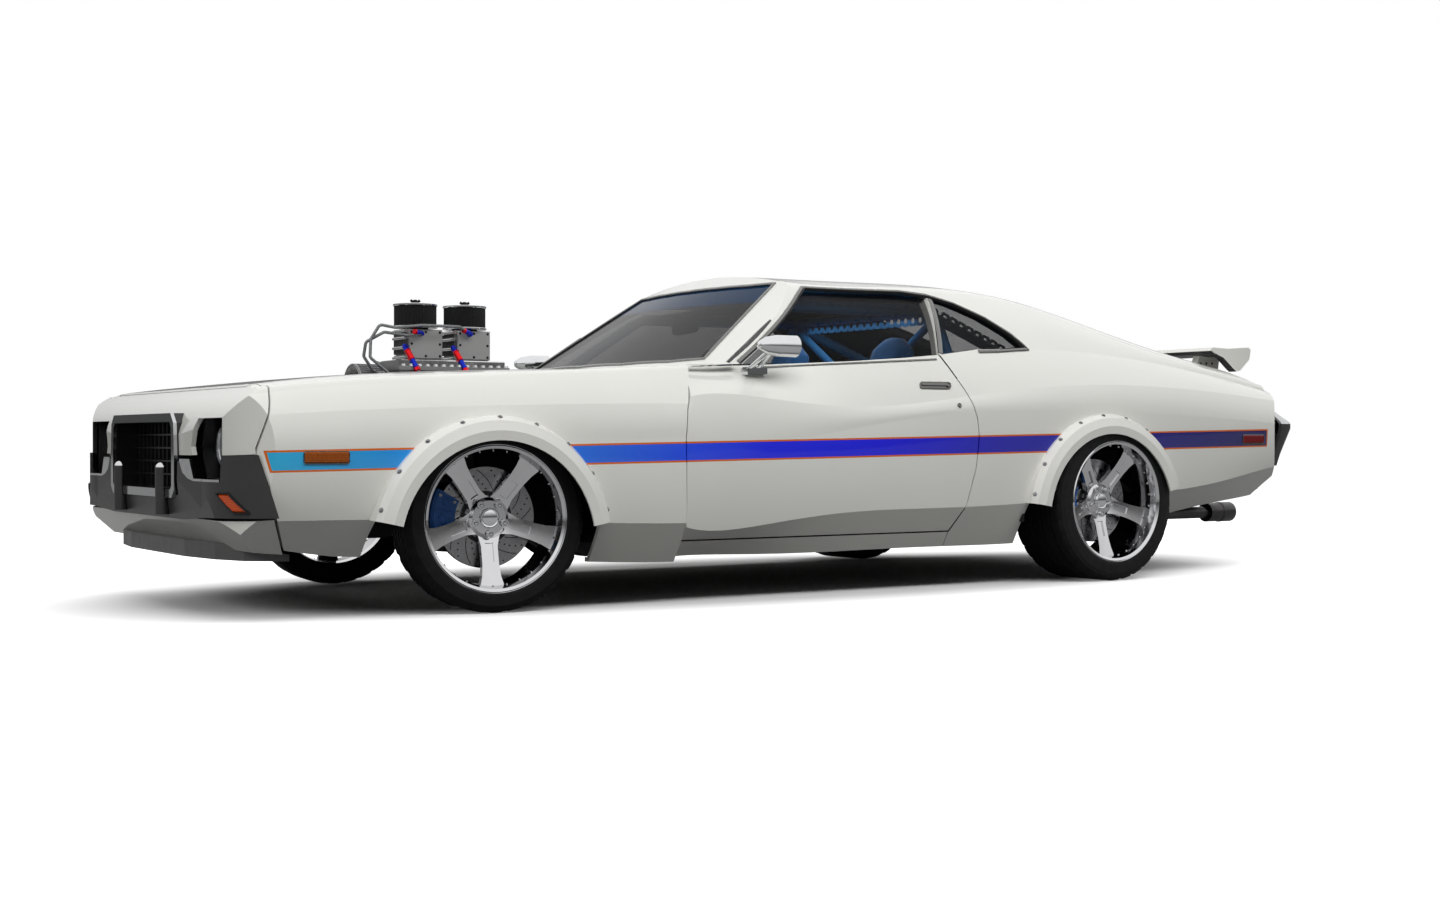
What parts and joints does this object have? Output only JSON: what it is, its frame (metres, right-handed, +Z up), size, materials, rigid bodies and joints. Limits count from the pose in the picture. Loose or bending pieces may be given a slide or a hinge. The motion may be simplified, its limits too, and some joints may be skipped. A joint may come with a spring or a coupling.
{
  "type": "two-door fastback muscle car",
  "caption": "Two-door fastback coupe with a supercharged front engine, riveted over-fenders, opening doors, hood and deck lid, steered front wheels and a rear wing.",
  "frame": {"origin": "on the ground under the centre of the car's bounding box, standing on its tyres", "axes": "+X forwards, +Y to the car's left, +Z up"},
  "size_m": [5.2, 2.116, 1.3256],
  "materials": {
    "blower_alloy": "satin",
    "bumper_grey": "satin",
    "cage_blue": "gloss",
    "caliper_blue": "gloss",
    "chrome": "polished",
    "disc_steel": "brushed",
    "engine_iron": "matt",
    "exhaust_steel": "brushed",
    "filter_black": "matt",
    "frame_black": "matt",
    "hose_braid": "braided",
    "interior_black": "matt",
    "lamp_black": "gloss",
    "lamp_red": "gloss",
    "paint": "gloss",
    "seat_cloth": "woven",
    "splitter_grey": "satin",
    "tank_steel": "matt",
    "tinted_glass": "gloss",
    "tyre": "matt",
    "under_black": "matt"
  },
  "bodies": {
    "body": {"front_fenders": "paint", "nose_panel": "paint", "front_valance": "paint", "roof": "paint", "quarter_panels": "paint", "tail_panel": "paint", "rockers": "paint", "flares": "paint", "grille": "chrome", "bumper_trim": "chrome", "hoses": "hose_braid", "headlamps": "lamp_black", "front_bumper": "bumper_grey", "rear_bumper": "bumper_grey", "splitter": "splitter_grey", "firewall": "under_black", "floor_pan": "under_black", "wheelhouses": "under_black", "chassis": "frame_black", "windscreen": "tinted_glass", "rear_window": "tinted_glass", "quarter_glass": "tinted_glass", "engine": "engine_iron", "blower": "blower_alloy", "air_filters": "filter_black", "rear_calipers": "caliper_blue", "front_suspension": "frame_black", "rear_axle": "frame_black", "rear_springs": "frame_black", "drive_shaft": "frame_black", "fuel_tank": "tank_steel", "exhaust": "exhaust_steel", "tail_lamps": "lamp_red", "dashboard": "interior_black", "steering_wheel": "interior_black", "seats": "seat_cloth", "roll_cage": "cage_blue"},
    "door_left": {"door_left": "paint", "door_glass_left": "tinted_glass", "mirror_left": "chrome"},
    "steer_left": {"knuckle_left": "caliper_blue"},
    "front_wheel_left": {"front_tyre_left": "tyre", "front_rim_left": "chrome", "front_disc_left": "disc_steel"},
    "rear_wheel_left": {"rear_tyre_left": "tyre", "rear_rim_left": "chrome", "rear_disc_left": "disc_steel"},
    "door_right": {"door_right": "paint", "door_glass_right": "tinted_glass", "mirror_right": "chrome"},
    "steer_right": {"knuckle_right": "caliper_blue"},
    "front_wheel_right": {"front_tyre_right": "tyre", "front_rim_right": "chrome", "front_disc_right": "disc_steel"},
    "rear_wheel_right": {"rear_tyre_right": "tyre", "rear_rim_right": "chrome", "rear_disc_right": "disc_steel"},
    "hood": {"hood": "paint"},
    "deck_lid": {"deck_lid": "paint", "wing": "paint"}
  },
  "joints": [
    {"name": "door_left_swing", "type": "hinge", "parent": "body", "child": "door_left", "pos_m": [0.823, 1, 0.5], "axis": [0, 0, -1], "range_deg": [0, 62]},
    {"name": "steer_left_turn", "type": "hinge", "parent": "body", "child": "steer_left", "pos_m": [1.551, 0.71, 0.3347], "axis": [0, 0, 1], "range_deg": [-22, 38]},
    {"name": "front_left_spin", "type": "hinge", "parent": "steer_left", "child": "front_wheel_left", "pos_m": [1.57097, 0.78696, 0.3347], "axis": [0.14, 0.9901, 0], "continuous": true},
    {"name": "rear_left_spin", "type": "hinge", "parent": "body", "child": "rear_wheel_left", "pos_m": [-1.336, 0.88, 0.3468], "axis": [0, 1, 0], "continuous": true},
    {"name": "door_right_swing", "type": "hinge", "parent": "body", "child": "door_right", "pos_m": [0.823, -1, 0.5], "axis": [0, 0, 1], "range_deg": [0, 62]},
    {"name": "steer_right_turn", "type": "hinge", "parent": "body", "child": "steer_right", "pos_m": [1.551, -0.71, 0.3347], "axis": [0, 0, 1], "range_deg": [-22, 38]},
    {"name": "front_right_spin", "type": "hinge", "parent": "steer_right", "child": "front_wheel_right", "pos_m": [1.54885, -0.78948, 0.3347], "axis": [0.14, 0.9901, 0], "continuous": true},
    {"name": "rear_right_spin", "type": "hinge", "parent": "body", "child": "rear_wheel_right", "pos_m": [-1.336, -0.88, 0.3468], "axis": [0, 1, 0], "continuous": true},
    {"name": "hood_lift", "type": "hinge", "parent": "body", "child": "hood", "pos_m": [0.84, 0, 0.891], "axis": [0, -1, 0], "range_deg": [0, 48]},
    {"name": "deck_lid_lift", "type": "hinge", "parent": "body", "child": "deck_lid", "pos_m": [-2.024, 0, 1.06], "axis": [0, 1, 0], "range_deg": [0, 60]}
  ],
  "couplings": [
    {"joint": "steer_right_turn", "follows": "steer_left_turn", "ratio": 1}
  ]
}
